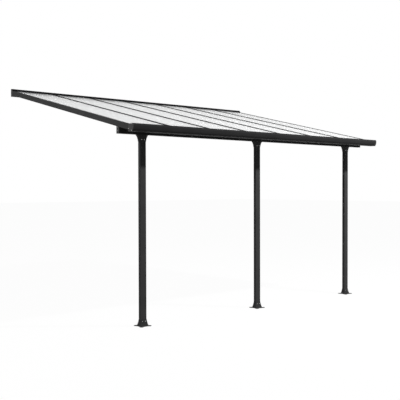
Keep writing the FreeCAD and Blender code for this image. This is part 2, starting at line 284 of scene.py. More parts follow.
class Finish:
    """A material being built: a Principled surface that reads Object coordinates."""

    # Sockets of a Mix node that mixes colours
    FIRST, SECOND, MIXED = 6, 7, 2

    def __init__(self, name):
        self.material = bpy.data.materials.new(name)
        self.material.use_nodes = True
        self.tree = self.material.node_tree
        self.tree.nodes.clear()
        self.place = add_node(self.tree, "ShaderNodeTexCoord").outputs["Object"]

    def stretched(self, scale):
        """Object coordinates with a scale for each axis."""
        return add_node(self.tree, "ShaderNodeMapping", Vector=self.place, Scale=scale)

    def noise(self, scale, detail=2.0, vector=None, roughness=0.5):
        """Noise of a scale in features to the metre."""
        return add_node(self.tree, "ShaderNodeTexNoise", Vector=vector or self.place,
                        Scale=scale, Detail=detail, Roughness=roughness)

    def between(self, value, low, high, start=0.3, end=0.7):
        """The value's range from START to END, spread from LOW to HIGH."""
        return add_node(self.tree, "ShaderNodeMapRange", Value=value, From_Min=start,
                        From_Max=end, To_Min=low, To_Max=high)

    def blend(self, share, first, second):
        """Two colours, mixed by the share."""
        node = add_node(self.tree, "ShaderNodeMix", {"data_type": "RGBA"})
        give(self.tree, node.inputs[0], share)
        for place, colour in ((self.FIRST, first), (self.SECOND, second)):
            if not isinstance(colour, bpy.types.NodeSocket):
                colour = (*colour, 1.0)
            give(self.tree, node.inputs[place], colour)
        return node.outputs[self.MIXED]

    def mottled(self, value, base, dark, light):
        """The base colour, between a darker and a lighter shade of it."""
        return self.blend(self.between(value, 0.0, 1.0), shade(base, dark), shade(base, light))

    def bump(self, height, strength, distance, under=None):
        """Normal for a relief, over another relief where one is given."""
        node = add_node(self.tree, "ShaderNodeBump", Height=height, Strength=strength,
                        Distance=distance)
        if under:
            give(self.tree, node.inputs["Normal"], under)
        return node

    def facing_up(self):
        """From nought on upright faces to one on level ones that look up."""
        geometry = add_node(self.tree, "ShaderNodeNewGeometry")
        split = add_node(self.tree, "ShaderNodeSeparateXYZ", Vector=geometry.outputs["Normal"])
        return self.between(split.outputs["Z"], 0.0, 1.0, start=0.35, end=1.0)

    def dusted(self, colour, specks, thin, thick):
        """The colour with dust on its upper faces, thin to thick by the specks."""
        share = reckon(self.tree, "MULTIPLY", self.facing_up(), self.between(specks, thin, thick))
        return self.blend(share, colour, DUST)

    def close(self, **inputs):
        """The material, with its surface set."""
        surface = add_node(self.tree, "ShaderNodeBsdfPrincipled", **inputs)
        add_node(self.tree, "ShaderNodeOutputMaterial", Surface=surface)
        return self.material


def shade(colour, factor):
    """The colour made lighter or darker."""
    return tuple(channel * factor for channel in colour)


def powder_coat(name, look, base, lengthwise, dusty=0.16, shine=0.06, crown=None):
    """Fine textured powder coat in the base colour.

    LENGTHWISE scales its streaks along the extrusion, DUSTY is the most dust that it carries,
    SHINE its specular level, and the last argument, where given, is a darker colour painted
    on its upper faces as shade.
    """
    coat = Finish(name)
    colour = coat.mottled(coat.noise(scale=5.0, detail=4.0), base, dark=0.90, light=1.12)
    specks = coat.noise(scale=38.0, detail=5.0, roughness=0.7)
    colour = coat.dusted(colour, specks, thin=0.1 * dusty, thick=dusty)
    # Painted shade: faces that look up take the darker colour
    if crown:
        colour = coat.blend(coat.facing_up(), colour, tuple(crown))
    streaks = coat.noise(scale=140.0, detail=1.0, vector=coat.stretched(lengthwise))
    normal = coat.bump(streaks, strength=0.10, distance=0.00025)
    peel = coat.noise(scale=560.0)
    normal = coat.bump(peel, strength=0.22, distance=0.00012, under=normal)
    roughness = coat.between(coat.noise(scale=90.0, detail=3.0), low=look.coat_roughness - 0.06,
                             high=look.coat_roughness + 0.07)
    return coat.close(Base_Color=colour, Roughness=roughness, Normal=normal,
                      Specular_IOR_Level=shine)


def moulded_plastic(name, base):
    """Grained moulded plastic with faint flow marks."""
    plastic = Finish(name)
    flow = plastic.noise(scale=9.0, detail=3.0, vector=plastic.stretched((1.0, 1.0, 0.35)))
    colour = plastic.mottled(flow, base, dark=0.90, light=1.14)
    specks = plastic.noise(scale=55.0, detail=4.0)
    colour = plastic.dusted(colour, specks, thin=0.02, thick=0.14)
    grain = plastic.noise(scale=1500.0)
    normal = plastic.bump(flow, strength=0.06, distance=0.0006)
    normal = plastic.bump(grain, strength=0.30, distance=0.00010, under=normal)
    return plastic.close(Base_Color=colour, Normal=normal, Specular_IOR_Level=0.14,
                         Roughness=plastic.between(grain, low=0.56, high=0.68))


def twin_wall_sheet(name, look, pitch):
    """Extruded polycarbonate: clear, slightly milky, with sink marks over its ribs."""
    sheet = Finish(name)
    radians_to_the_metre = 20.0    # of a wave texture whose scale is one
    wave = add_node(sheet.tree, "ShaderNodeTexWave", {
        "wave_type": "BANDS", "bands_direction": "X", "wave_profile": "SIN"},
        Vector=sheet.place, Scale=2.0 * math.pi / pitch / radians_to_the_metre, Distortion=0.15)
    haze = sheet.noise(scale=2.2, detail=4.0, vector=sheet.stretched((1.0, 0.3, 1.0)))
    colour = sheet.mottled(haze, look.sheet, dark=0.97, light=1.0)
    normal = sheet.bump(wave.outputs["Fac"], strength=0.10, distance=0.00012)
    draw_lines = sheet.noise(scale=420.0, vector=sheet.stretched((1.0, 0.12, 1.0)))
    normal = sheet.bump(draw_lines, strength=0.05, distance=0.00008, under=normal)
    return sheet.close(Base_Color=colour, Roughness=sheet.between(haze, low=0.20, high=0.27),
                       Normal=normal, IOR=1.58, Transmission_Weight=0.50)


def seal_rubber(name, look):
    """Matt black rubber with fine ribbing."""
    rubber = Finish(name)
    patches = rubber.noise(scale=60.0, detail=3.0)
    normal = rubber.bump(rubber.noise(scale=1300.0), strength=0.25, distance=0.0001)
    return rubber.close(Base_Color=rubber.mottled(patches, look.rubber, dark=0.85, light=1.3),
                        Roughness=rubber.between(patches, low=0.68, high=0.82),
                        Normal=normal, Specular_IOR_Level=0.08)


def screw_steel(name, look):
    """Stainless steel with turning marks and dull patches."""
    steel = Finish(name)
    patches = steel.noise(scale=240.0, detail=3.0)
    normal = steel.bump(steel.noise(scale=2600.0), strength=0.12, distance=0.00006)
    return steel.close(Base_Color=steel.mottled(patches, look.steel, dark=0.82, light=1.0),
                       Roughness=steel.between(patches, low=0.24, high=0.40),
                       Normal=normal, Metallic=1.0)


def material(name):
    """A finish that has been made already."""
    return bpy.data.materials[name]


# Shapes

def add_object(name, data):
    """Object at the origin with a mesh or curve."""
    thing = bpy.data.objects.new(name, data)
    bpy.context.scene.collection.objects.link(thing)
    return thing


def mesh_from(name, points, faces=(), edges=()):
    """Mesh from points in metres, with faces or edges."""
    mesh = bpy.data.meshes.new(name)
    mesh.from_pydata(points, edges, faces)
    mesh.update()
    return mesh


def finished_mesh(thing):
    """Plain mesh of an object with its modifiers or bevels applied."""
    bpy.context.view_layer.update()
    graph = bpy.context.evaluated_depsgraph_get()
    return bpy.data.meshes.new_from_object(thing.evaluated_get(graph), depsgraph=graph)


@contextmanager
def edited(mesh):
    """The mesh open for changes, which it gets at the end."""
    work = bmesh.new()
    work.from_mesh(mesh)
    yield work
    work.to_mesh(mesh)
    work.free()
    mesh.update()


def clean(mesh, distance=1e-6):
    """Merge doubles and turn the faces outwards."""
    with edited(mesh) as work:
        bmesh.ops.remove_doubles(work, verts=work.verts, dist=distance)
        bmesh.ops.recalc_face_normals(work, faces=work.faces)


def smooth_by_angle(mesh, degrees):
    """Smooth shading, with sharp edges where faces meet at more than the angle."""
    limit = math.radians(degrees)
    with edited(mesh) as work:
        for face in work.faces:
            face.smooth = True
        for edge in work.edges:
            edge.smooth = len(edge.link_faces) == 2 and edge.calc_face_angle(0.0) < limit


def finish_piece(piece, slot, *nodes):
    """Let the piece ride on the frame and stand for the nodes."""
    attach(piece, "root")
    if nodes:
        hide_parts(*nodes)


def roof_height(y, above, roof):
    """Height of the plane ABOVE the crown plane at the distance Y."""
    return roof.crown_height + roof.fall * y + above * math.sqrt(1 + roof.fall ** 2)


def circle(count, radius, x=0.0, y=0.0):
    """Points round a circle, against the clock."""
    return [(x + radius * math.cos(2 * math.pi * i / count),
             y + radius * math.sin(2 * math.pi * i / count)) for i in range(count)]


def rounded_rectangle(half_x, half_y, radius, steps):
    """Points round a rectangle with rounded corners, against the clock."""
    points = []
    for quarter, (sx, sy) in enumerate(((1, 1), (-1, 1), (-1, -1), (1, -1))):
        for step in range(steps + 1):
            turn = math.radians(90 * (quarter + step / steps))
            points.append((sx * (half_x - radius) + radius * math.cos(turn),
                           sy * (half_y - radius) + radius * math.sin(turn)))
    return points


def ring_of(work, points, z):
    """Add a ring of vertices at a height."""
    return [work.verts.new((x, y, z)) for x, y in points]


def bridge(work, lower, upper):
    """Faces between two rings of the same count."""
    count = len(lower)
    for i in range(count):
        j = (i + 1) % count
        work.faces.new((lower[i], lower[j], upper[j], upper[i]))


# Node trees for what repeats

def new_tree(name, **inputs):
    """Geometry node tree with the named inputs; also its inner sockets and their keys."""
    tree = bpy.data.node_groups.new(name, "GeometryNodeTree")
    sockets = tree.interface
    sockets.new_socket("Geometry", in_out="INPUT", socket_type="NodeSocketGeometry")
    keys = {}
    for label, kind in inputs.items():
        socket = sockets.new_socket(label, in_out="INPUT", socket_type="NodeSocket" + kind)
        keys[label] = socket.identifier
    sockets.new_socket("Geometry", in_out="OUTPUT", socket_type="NodeSocketGeometry")
    return tree, tree.nodes.new("NodeGroupInput").outputs, keys


def end_tree(tree, given, geometry, merged_within=None):
    """Make the geometry real, merge doubles where that is asked, and set the material."""
    real = add_node(tree, "GeometryNodeRealizeInstances", Geometry=geometry)
    if merged_within:
        real = add_node(tree, "GeometryNodeMergeByDistance", Geometry=real, Distance=merged_within)
    painted = add_node(tree, "GeometryNodeSetMaterial", Geometry=real, Material=given["Material"])
    add_node(tree, "NodeGroupOutput", Geometry=painted)


def apply_tree(source, tree, keys, name, finish, **values):
    """Plain mesh object that the tree makes of the source, which is removed."""
    modifier = source.modifiers.new(tree.name, "NODES")
    modifier.node_group = tree
    for label, value in dict(values, Material=material(finish)).items():
        modifier[keys[label]] = value
    mesh = finished_mesh(source)
    mesh.name = name
    source.modifiers.clear()
    old = source.data
    bpy.data.objects.remove(source)
    bpy.data.meshes.remove(old)
    return add_object(name, mesh)


def channel_tree():
    """Repeats one open channel across a sheet."""
    tree, given, keys = new_tree(
        "Sheet channels", Channels="Int", Pitch="Float", Material="Material")
    step = add_node(tree, "ShaderNodeCombineXYZ", X=given["Pitch"])
    line = add_node(tree, "GeometryNodeMeshLine", Count=given["Channels"], Offset=step)
    copies = add_node(
        tree, "GeometryNodeInstanceOnPoints", Points=line, Instance=given["Geometry"])
    end_tree(tree, given, copies, merged_within=1e-5)
    return tree, keys


def strip_tree():
    """Draws a rounded rubber strip along every edge of a line mesh."""
    tree, given, keys = new_tree(
        "Seal strips", Width="Float", Height="Float", Material="Material")
    section = add_node(tree, "GeometryNodeCurvePrimitiveQuadrilateral",
                       Width=given["Width"], Height=given["Height"])
    rounded = add_node(
        tree, "GeometryNodeFilletCurve", {"mode": "POLY"}, Curve=section, Radius=0.0007, Count=2)
    curve = add_node(tree, "GeometryNodeMeshToCurve", Mesh=given["Geometry"])
    sweep = add_node(
        tree, "GeometryNodeCurveToMesh", Curve=curve, Profile_Curve=rounded, Fill_Caps=True)
    end_tree(tree, given, sweep)
    return tree, keys


def screw_tree():
    """Sets a screw head on every point, turned to the direction that the point carries."""
    tree, given, keys = new_tree(
        "Screw heads", Head="Object", Diameter="Float", Material="Material")
    quarter_turn = 1.57
    head = add_node(tree, "GeometryNodeObjectInfo", Object=given["Head"])
    facing = add_node(
        tree, "GeometryNodeInputNamedAttribute", {"data_type": "FLOAT_VECTOR"}, Name="facing")
    aligned = add_node(tree, "FunctionNodeAlignRotationToVector", {"axis": "Z"},
                       Vector=facing.outputs["Attribute"])
    turn = add_node(
        tree, "FunctionNodeRandomValue", {"data_type": "FLOAT"}, Max=quarter_turn, Seed=7)
    spin = add_node(
        tree, "FunctionNodeAxisAngleToRotation", Axis=(0, 0, 1), Angle=turn.outputs["Value"])
    twisted = add_node(tree, "FunctionNodeRotateRotation", {"rotation_space": "LOCAL"},
                       Rotation=aligned, Rotate_By=spin)
    copies = add_node(
        tree, "GeometryNodeInstanceOnPoints", Points=given["Geometry"],
        Instance=head.outputs["Geometry"], Rotation=twisted, Scale=given["Diameter"])
    end_tree(tree, given, copies)
    return tree, keys


# Pieces

class PERGOLA_OT_finishes(bpy.types.Operator):
    """Make the finishes and give them to the frame's own pieces"""
    bl_idname = "pergola.finishes"
    bl_label = "Finishes"

    ALONG_X = (0.02, 1.0, 1.0)
    ALONG_Y = (1.0, 0.02, 1.0)
    ALONG_Z = (1.0, 1.0, 0.02)

    def execute(self, context):
        look = context.scene.pergola_finish
        roof = context.scene.pergola_roof
        low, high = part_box(SHEETS[0])
        # Painted shade: the wall profile takes a much darker copy of the coat
        powder_coat("coat_wall_profile_painted_shade", look, look.coat_wall_painted_shade, self.ALONG_X, 0.02, 0.03)
        # Painted shade: the gutter and beam take a darker copy of the coat
        powder_coat("coat_gutter_and_beam_painted_shade", look, look.coat_deep_painted_shade, self.ALONG_X)
        # Painted shade: the glazing bars take a much darker copy of the coat
        powder_coat("coat_glazing_bars_painted_shade", look, look.coat_bars_painted_shade, self.ALONG_Y, 0.03, 0.03)
        # Painted shade: the edge rafters' upper faces take the bars' darker colour
        powder_coat("coat_edge_rafters", look, look.coat_edges, self.ALONG_Y,
                    crown=look.coat_bars_painted_shade)
        powder_coat("coat_posts", look, look.coat, self.ALONG_Z)
        moulded_plastic("moulded_caps", look.caps)
        moulded_plastic("moulded_connectors", look.connectors)
        twin_wall_sheet("twin_wall_sheet", look, (high.x - low.x) / roof.channels)
        seal_rubber("seal_rubber", look)
        screw_steel("screw_steel", look)
        for name, node in NODES.items():
            if not node.material_slots:
                node.data.materials.append(None)
            for slot in node.material_slots:
                slot.material = material(self.finish_of(name))
        return {"FINISHED"}

    def finish_of(self, name):
        """Name of the finish on one of the frame's nodes."""
        if "_cap_" in name or name == "gutter_joint":
            return "moulded_caps"
        # Darker coat on the wall profile: painted shade
        if name == "wall_profile":
            return "coat_wall_profile_painted_shade"
        # Darker coat on the beam: painted shade
        if name == "header_beam":
            return "coat_gutter_and_beam_painted_shade"
        # Darker coat on the glazing bars: painted shade
        if name in BARS:
            return "coat_glazing_bars_painted_shade"
        if "rafter" in name:
            return "coat_edge_rafters"
        return "coat_posts"


class PERGOLA_OT_roof_sheets(bpy.types.Operator):
    """Make the twin-wall sheets, channel by channel"""
    bl_idname = "pergola.roof_sheets"
    bl_label = "Roof sheets"

    SIDE_REACH = 1e-5    # a point this near to a sheet's side is on it

    def execute(self, context):
        roof = context.scene.pergola_roof
        tree, keys = channel_tree()
        for number, node in enumerate(SHEETS, 1):
            low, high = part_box(node)
            pitch = (high.x - low.x) / roof.channels
            cell = add_object("channel", self.channel(low, high, pitch, roof))
            sheet = apply_tree(cell, tree, keys, "roof_sheet_%d" % number, "twin_wall_sheet",
                               Channels=roof.channels, Pitch=pitch)
            self.close_sides(sheet.data, (low.x, high.x), roof.fall)
            finish_piece(sheet, "roof_sheet", node)
        return {"FINISHED"}

    def channel(self, low, high, pitch, roof):
        """One channel with half a rib at each side; its sides are open."""
        top = roof.sheet_top
        bottom = top - roof.sheet_thickness
        half = roof.rib / 2
        outer = ((0, bottom), (pitch, bottom), (pitch, top), (0, top))
        inner = ((half, bottom + roof.skin), (pitch - half, bottom + roof.skin),
                 (pitch - half, top - roof.skin), (half, top - roof.skin))
        points = [(low.x + x, y, roof_height(y, above, roof))
                  for y in (low.y, high.y) for ring in (outer, inner) for x, above in ring]
        # Corners 0 to 3 are the outer ones at the eave, 4 to 7 the inner ones, 8 to 15 the wall's
        faces = [(0, 1, 9, 8), (2, 3, 11, 10)]
        for i in range(4):
            j = (i + 1) % 4
            faces.append((4 + i, 12 + i, 12 + j, 4 + j))
            faces.append((i, 4 + i, 4 + j, j))
            faces.append((8 + i, 8 + j, 12 + j, 12 + i))
        return mesh_from("channel", points, faces)

    def close_sides(self, mesh, sides, fall):
        """Add the two outer sides of a sheet and turn its faces outwards."""
        def bearing(vert):
            y = vert.co.y - middle.y
            return math.atan2(vert.co.z - middle.z - y * fall, y)

        with edited(mesh) as work:
            for x in sides:
                side = [vert for vert in work.verts if abs(vert.co.x - x) < self.SIDE_REACH]
                middle = sum((vert.co for vert in side), Vector()) / len(side)
                work.faces.new(sorted(side, key=bearing))
            bmesh.ops.recalc_face_normals(work, faces=work.faces)


class PERGOLA_OT_gutter(bpy.types.Operator):
    """Make both lengths of the gutter with a smooth front"""
    bl_idname = "pergola.gutter"
    bl_label = "Gutter"

    # Points from the front and the bottom: down the bowed face, and round the bead at its foot
    FACE = ((0.0065, 0.084), (0.0, 0.064), (0.001, 0.048), (0.0034, 0.033), (0.0074, 0.020),
            (0.0126, 0.0115), (0.017, 0.009))
    BEAD = ((0.0155, 0.0072), (0.0142, 0.0052), (0.0140, 0.0034), (0.0150, 0.0012),
            (0.0170, 0.0001))
    FACE_STEPS = 5
    SHARPEST_MITRE = 0.4

    def execute(self, context):
        gutter = context.scene.pergola_gutter
        outer = self.outline(gutter, context.scene.pergola_roof)
        loop = outer + self.moved_in(outer, gutter.wall)[::-1]
        total = len(loop)
        for _, side in ENDS:
            low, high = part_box("gutter_" + side)
            points = [(x, y, z) for x in (low.x, high.x) for y, z in loop]
            faces = [(i, (i + 1) % total, total + (i + 1) % total, total + i)
                     for i in range(total)]
            for base in (0, total):
                faces += [(base + i, base + i + 1, base + total - 2 - i, base + total - 1 - i)
                          for i in range(len(outer) - 1)]
            mesh = mesh_from("gutter_%s_section" % side, points, faces)
            clean(mesh)
            smooth_by_angle(mesh, degrees=24)
            # Darker coat on the gutter: painted shade
            mesh.materials.append(material("coat_gutter_and_beam_painted_shade"))
            piece = add_object("gutter_%s_extrusion" % side, mesh)
            finish_piece(piece, "coated_frame", "gutter_" + side)
        return {"FINISHED"}

    def outline(self, gutter, roof):
        """Outer line from the front lip round to the back flange."""
        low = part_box("gutter_left")[0]
        face = [Vector(point) for point in self.FACE]
        line = []
        for i in range(len(face) - 1):
            a, b = face[i], face[i + 1]
            before = face[max(i - 1, 0)]
            after = face[min(i + 2, len(face) - 1)]
            for step in range(self.FACE_STEPS):
                t = step / self.FACE_STEPS
                line.append(0.5 * ((2 * a) + (b - before) * t
                                   + (2 * before - 5 * a + 4 * b - after) * t * t
                                   + (3 * a - before - 3 * b + after) * t ** 3))
        line.append(face[-1])
        line += [Vector(point) for point in self.BEAD]
        path = [(low.y + point.x, low.z + point.y) for point in line]
        back = low.y + gutter.depth
        path.append((back, low.z))
        for y in (back, back - gutter.flange):
            path.append((y, roof_height(y, -gutter.rafter_depth, roof)))
        return path

    def moved_in(self, path, distance):
        """The path moved into the gutter by a wall's thickness, with mitred corners."""
        result = []
        for i, (y, z) in enumerate(path):
            normals = []
            for j in (i - 1, i):
                if 0 <= j < len(path) - 1:
                    run = Vector(path[j + 1]) - Vector(path[j])
                    normals.append(Vector((-run.y, run.x)).normalized())
            middle = sum(normals, Vector((0.0, 0.0))) / len(normals)
            reach = distance / max(middle.length_squared, self.SHARPEST_MITRE)
            result.append((y + middle.x * reach, z + middle.y * reach))
        return result


class PERGOLA_OT_connectors(bpy.types.Operator):
    """Make the moulded feet and heads of the posts"""
    bl_idname = "pergola.connectors"
    bl_label = "Connectors"

    # How far a skirt spreads along and across the beam: its straight and its curved share
    FOOT_SPREAD = ((0.0112, 0.0065), (0.0112, 0.0065))
    HEAD_SPREAD = ((0.0155, 0.0187), (0.0035, 0.0))
    POST_RADIUS = 0.0035
    BASE_RADIUS = 0.009
    LIP_DROP = 0.0008
    # Rounding of the lip: in from its outside, and down from its top
    LIP_ROUND = ((0.0003, 0.0002), (0.0008, 0.0))
    LIP_INSIDE = 0.0003
    PAD_SOFTENING = 0.0006
    SIDE_STEPS = 14
    EAR_STEPS = 8
    HOLE_STEPS = 24

    def execute(self, context):
        size = context.scene.pergola_connector
        for side in POSTS:
            low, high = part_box("post_" + side)
            half = (high - low) / 2
            middle = (high + low) / 2
            foot_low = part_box("post_foot_" + side)[0].z
            head_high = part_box("post_head_" + side)[1].z
            work = bmesh.new()
            self.skirt(work, half, self.FOOT_SPREAD, size.pad_thickness, size)
            self.pad(work, size)
            bmesh.ops.translate(work, verts=work.verts, vec=(middle.x, middle.y, foot_low))
            self.piece(work, "post_foot_" + side)
            work = bmesh.new()
            self.skirt(work, half, self.HEAD_SPREAD, 0.0, size)
            upside_down = Matrix.Rotation(math.pi, 3, "X")
            bmesh.ops.rotate(work, verts=work.verts, matrix=upside_down)
            bmesh.ops.translate(work, verts=work.verts, vec=(middle.x, middle.y, head_high))
            self.piece(work, "post_head_" + side)
        return {"FINISHED"}

    def skirt(self, work, half, spread, base, size):
        """Flared sleeve from its base up to a rounded lip."""
        rings = []
        rim = size.height - self.LIP_DROP
        for step in range(size.steps + 1):
            share = 1 - step / size.steps
            half_x, half_y = [edge + size.lip + straight * share + curved * share ** 3
                              for edge, (straight, curved) in zip((half.x, half.y), spread)]
            radius = self.POST_RADIUS + size.lip + (self.BASE_RADIUS - self.POST_RADIUS) * share
            ring = rounded_rectangle(half_x, half_y, radius, size.corner_steps)
            rings.append(ring_of(work, ring, rim + (base - rim) * share))
        edges = [(size.lip - inwards, size.height - down) for inwards, down in self.LIP_ROUND]
        edges += [(size.play, size.height - self.LIP_INSIDE), (size.play, base)]
        for out, up in edges:
            ring = rounded_rectangle(half.x + out, half.y + out, self.POST_RADIUS + out,
                                     size.corner_steps)
            rings.append(ring_of(work, ring, up))
        for lower, upper in zip(rings, rings[1:] + rings[:1]):
            bridge(work, lower, upper)

    def pad(self, work, size):
        """Pad with hollow sides, four ears and their anchor holes, with a softened edge."""
        curve = bpy.data.curves.new("pad", "CURVE")
        curve.dimensions = "2D"
        curve.fill_mode = "BOTH"
        offset = size.hole_pitch / 2
        loops = [self.pad_outline(size)]
        loops += [circle(self.HOLE_STEPS, size.hole, sx * offset, sy * offset)
                  for sx in (-1, 1) for sy in (-1, 1)]
        for loop in loops:
            spline = curve.splines.new("POLY")
            spline.points.add(len(loop) - 1)
            for point, (x, y) in zip(spline.points, loop):
                point.co = (x, y, 0.0, 1.0)
            spline.use_cyclic_u = True
        curve.bevel_depth = self.PAD_SOFTENING
        curve.bevel_resolution = 1
        curve.offset = -self.PAD_SOFTENING
        curve.extrude = size.pad_thickness / 2 - self.PAD_SOFTENING
        flat = add_object("pad", curve)
        mesh = finished_mesh(flat)
        mesh.transform(Matrix.Translation((0.0, 0.0, size.pad_thickness / 2)))
        work.from_mesh(mesh)
        bpy.data.objects.remove(flat)
        bpy.data.curves.remove(curve)
        bpy.data.meshes.remove(mesh)

    def pad_outline(self, size):
        """Points round the pad: a hollow side and an ear in each quarter."""
        half = size.pad / 2
        middle = half - size.side_sag + size.side_radius
        sweep = math.acos((middle - half) / size.side_radius)
        reach = (half - size.ear_radius) * math.sqrt(2)
        outline = []
        for quarter in range(4):
            side = math.pi / 2 * quarter
            for step in range(self.SIDE_STEPS + 1):
                turn = sweep * (1 - 2 * step / self.SIDE_STEPS)
                out = middle - size.side_radius * math.cos(turn)
                along = -size.side_radius * math.sin(turn)
                outline.append((out * math.cos(side) - along * math.sin(side),
                                out * math.sin(side) + along * math.cos(side)))
            ear = side + math.pi / 4
            for step in range(self.EAR_STEPS + 1):
                turn = side + math.pi / 2 * step / self.EAR_STEPS
                outline.append((reach * math.cos(ear) + size.ear_radius * math.cos(turn),
                                reach * math.sin(ear) + size.ear_radius * math.sin(turn)))
        return outline

    def piece(self, work, node):
        """Make the moulding that stands for the node."""
        mesh = bpy.data.meshes.new(node + "_moulding")
        work.to_mesh(mesh)
        work.free()
        clean(mesh, distance=1e-5)
        smooth_by_angle(mesh, degrees=32)
        mesh.materials.clear()
        mesh.materials.append(material("moulded_connectors"))
        finish_piece(add_object(node + "_moulding", mesh), "moulded_grey", node)


class PERGOLA_OT_seals(bpy.types.Operator):
    """Lay the rubber seals beside the crowns, and dark rubber strips under the hood of the wall
    profile that also paint its shade
    """
    bl_idname = "pergola.seals"
    bl_label = "Seals"

    WALL_END = -0.032      # where the seals beside the crowns end under the hood
    EAVE_GAP = 0.001       # from their other ends to the ends of the bars
    HOOD_LINE = -0.0287    # line of the seals under the hood
    HOOD_LIP = 0.0310      # height of the hood's lip
    HOOD_WIDTH = 0.0028
    BAR_GAP = 0.016        # from a sheet's side to the end of its seal under the hood

    def execute(self, context):
        roof = context.scene.pergola_roof
        recipe = strip_tree()
        off_crown = roof.crown_half + roof.seal_width / 2
        places = [centre(bar).x + side * off_crown for bar in BARS for side in (-1, 1)]
        for side, name in ENDS:
            edge = outside("side_rafter_" + name, side)
            places.append(edge - side * (roof.side_width + roof.seal_width / 2))
        above = roof.sheet_top + roof.seal_height / 2
        ends = (self.WALL_END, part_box(BARS[0])[0].y + self.EAVE_GAP)
        lines = [[(x, y, roof_height(y, above, roof)) for y in ends] for x in places]
        self.lay("crown_seals", lines, recipe, roof.seal_width, roof.seal_height)
        # The strips under the hood are rubber seals and also painted shade: they darken the band
        # under the hood
        foot = roof_height(self.HOOD_LINE, roof.sheet_top, roof)
        lines = []
        for node in SHEETS:
            low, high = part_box(node)
            lines.append([(x, self.HOOD_LINE, (self.HOOD_LIP + foot) / 2)
                          for x in (low.x + self.BAR_GAP, high.x - self.BAR_GAP)])
        self.lay("hood_seals", lines, recipe, self.HOOD_WIDTH, self.HOOD_LIP - foot)
        return {"FINISHED"}

    def lay(self, name, lines, recipe, width, height):
        """One strip along every line."""
        points = [point for line in lines for point in line]
        edges = [(2 * i, 2 * i + 1) for i in range(len(lines))]
        source = add_object(name + "_lines", mesh_from(name + "_lines", points, edges=edges))
        strips = apply_tree(source, *recipe, name, "seal_rubber", Width=width, Height=height)
        clean(strips.data)
        smooth_by_angle(strips.data, degrees=40)
        finish_piece(strips, "moulded_grey")


class PERGOLA_OT_screws(bpy.types.Operator):
    """Set the visible screws in the connectors, the beam's caps and the gutter's caps"""
    bl_idname = "pergola.screws"
    bl_label = "Screws"

    BEAM_CAP = (0.032, 0.070)           # heights of the screws over the foot of a beam cap
    GUTTER_CAP = (0.030, 0.008)         # of the front screw: from the front and from the foot
    GUTTER_CAP_BACK = (0.008, 0.030)    # of the other screw: from the back and from the foot
    SIDES = 24
    # Radius and height of the rings up a head, one unit across
    DOME = ((0.50, -0.05), (0.50, 0.08), (0.47, 0.17), (0.39, 0.25), (0.26, 0.29))
    # Height and scale of the recess at its rim and floor, and its arms and waists
    RECESS = ((0.30, 1.0), (0.12, 0.8))
    ARM, WAIST = 0.20, 0.09

    def execute(self, context):
        size = context.scene.pergola_screws
        points, facings = zip(*self.places(context.scene.pergola_connector, size))
        mesh = mesh_from("screw_places", points)
        facing = mesh.attributes.new("facing", "FLOAT_VECTOR", "POINT")
        for item, value in zip(facing.data, facings):
            item.vector = value
        head = add_object("screw_head", self.head())
        source = add_object("screw_places", mesh)
        screws = apply_tree(source, *screw_tree(), "screws", "screw_steel", Head=head,
                            Diameter=size.head)
        shape = head.data
        bpy.data.objects.remove(head)
        bpy.data.meshes.remove(shape)
        smooth_by_angle(screws.data, degrees=35)
        finish_piece(screws, "coated_frame")
        return {"FINISHED"}

    def places(self, connector, size):
        """Points and outward directions of the screws."""
        found = []
        for side in POSTS:
            low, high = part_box("post_" + side)
            middle = (low + high) / 2
            half = (high.y - low.y) / 2 + connector.lip
            for node, spread, base, up in (
                    ("post_foot_", PERGOLA_OT_connectors.FOOT_SPREAD, connector.pad_thickness, 1),
                    ("post_head_", PERGOLA_OT_connectors.HEAD_SPREAD, 0.0, -1)):
                foot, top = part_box(node + side)
                z = (foot.z if up > 0 else top.z) + up * size.up
                straight, curved = spread[1]
                share = (connector.height - size.up) / (connector.height - base)
                out = half + straight * share + curved * share ** 3
                lean = (straight + 3 * curved * share ** 2) / (connector.height - base)
                for face in (-1, 1):
                    for across in (-1, 1):
                        found.append(((middle.x + across * size.spread, middle.y + face * out, z),
                                      Vector((0.0, face, up * lean)).normalized()))
        for side, name in ENDS:
            outwards = Vector((side, 0.0, 0.0))
            cap = "header_beam_cap_" + name
            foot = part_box(cap)[0].z
            found += [((outside(cap, side), centre(cap).y, foot + height), outwards)
                      for height in self.BEAM_CAP]
            cap = "gutter_cap_" + name
            x = outside(cap, side)
            low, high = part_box(cap)
            y, z = self.GUTTER_CAP
            found.append(((x, low.y + y, low.z + z), outwards))
            y, z = self.GUTTER_CAP_BACK
            found.append(((x, high.y - y, low.z + z), outwards))
        return found

    def head(self):
        """Pan head with a cross recess, one unit across, that faces up from the origin."""
        work = bmesh.new()
        rings = [ring_of(work, circle(self.SIDES, radius), z) for radius, z in self.DOME]
        for z, scale in self.RECESS:
            ring = []
            for i, (x, y) in enumerate(circle(self.SIDES, 1.0)):
                radius = scale * (self.ARM if i % 6 in (0, 1, 5) else self.WAIST)
                ring.append((radius * x, radius * y))
            rings.append(ring_of(work, ring, z))
        for lower, upper in zip(rings, rings[1:]):
            bridge(work, lower, upper)
        work.faces.new(rings[-1])
        work.faces.new(rings[0][::-1])
        bmesh.ops.recalc_face_normals(work, faces=work.faces)
        mesh = bpy.data.meshes.new("screw_head")
        work.to_mesh(mesh)
        work.free()
        return mesh


